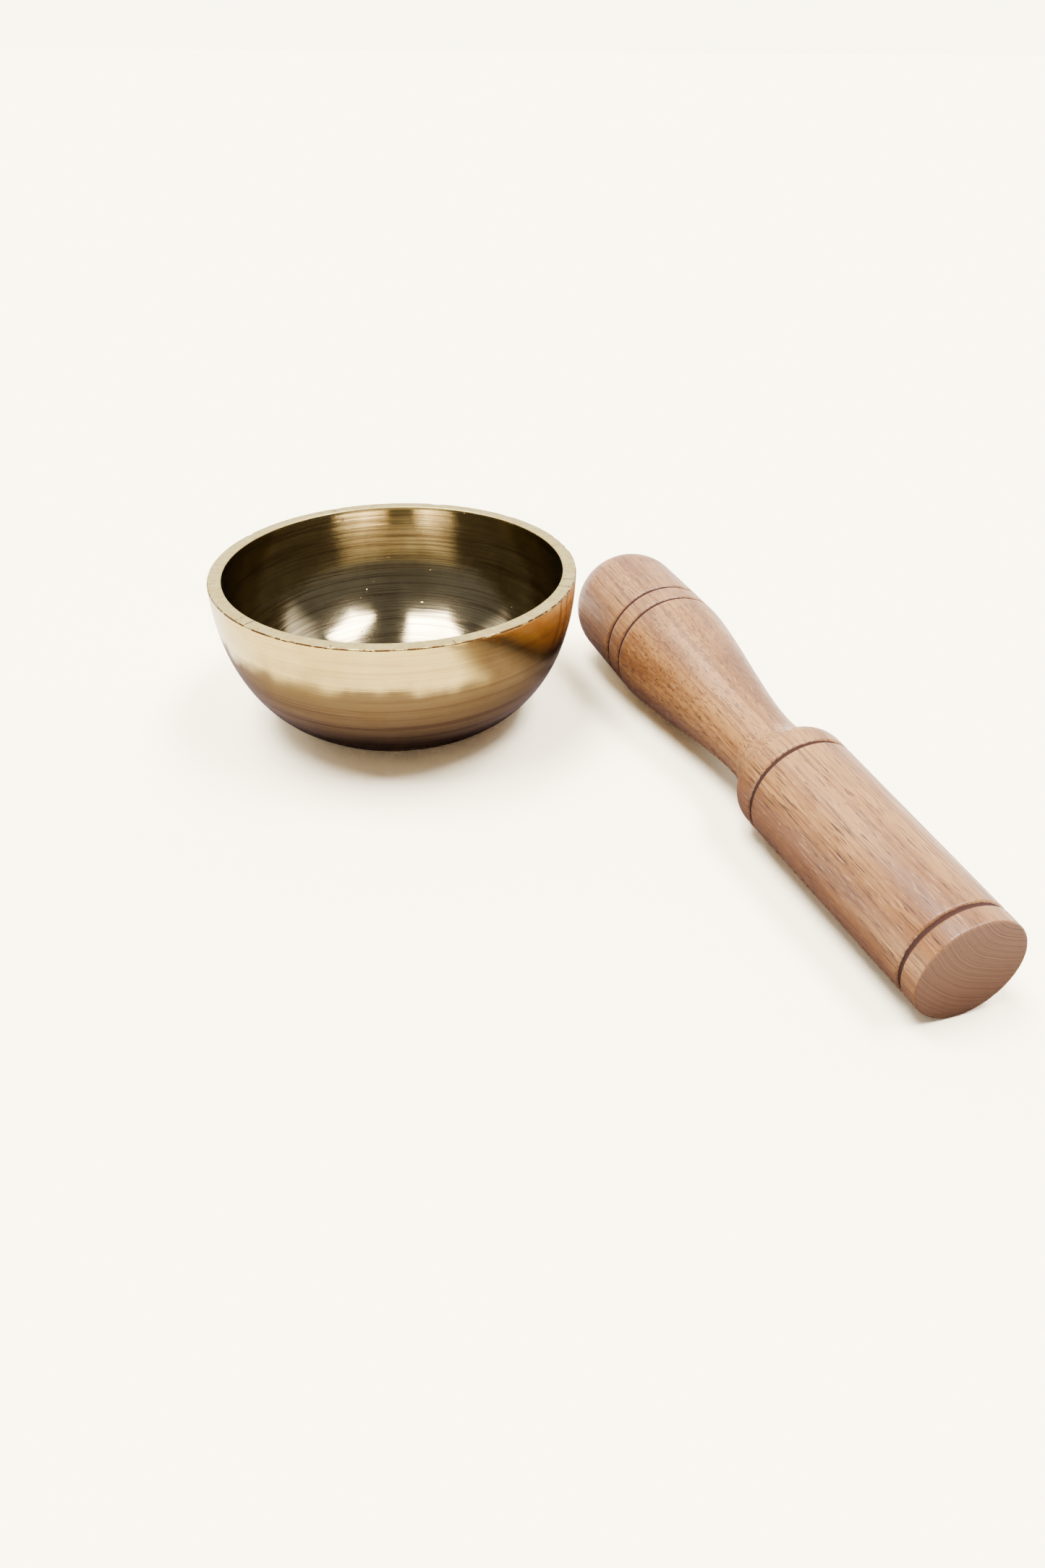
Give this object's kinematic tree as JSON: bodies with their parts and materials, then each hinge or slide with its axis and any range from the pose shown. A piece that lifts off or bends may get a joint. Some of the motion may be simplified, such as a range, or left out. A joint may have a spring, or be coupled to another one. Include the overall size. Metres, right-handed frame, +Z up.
{
  "type": "singing bowl",
  "caption": "Small turned brass singing bowl with a flat satin rim, and a turned wooden striker lying on the floor beside it.",
  "frame": {"origin": "centre of the bowl's flat base, on the surface that it stands on", "axes": "+Z up along the bowl's axis, -Y towards the viewer, +X towards the side where the striker lies"},
  "size_m": [0.1854, 0.1792, 0.043],
  "materials": {
    "brass": "turned and polished wall, satin flat rim, dark turning rings inside",
    "wood": "sanded and lightly waxed, with burnt dark brown grooves"
  },
  "bodies": {
    "bowl_body": {"bowl": "brass"},
    "striker_body": {"striker": "wood"}
  },
  "joints": [
    {"name": "striker_lift", "type": "slide", "parent": "bowl_body", "child": "striker_body", "axis": [0, 0, 1], "range_m": [0, 0.15]}
  ]
}
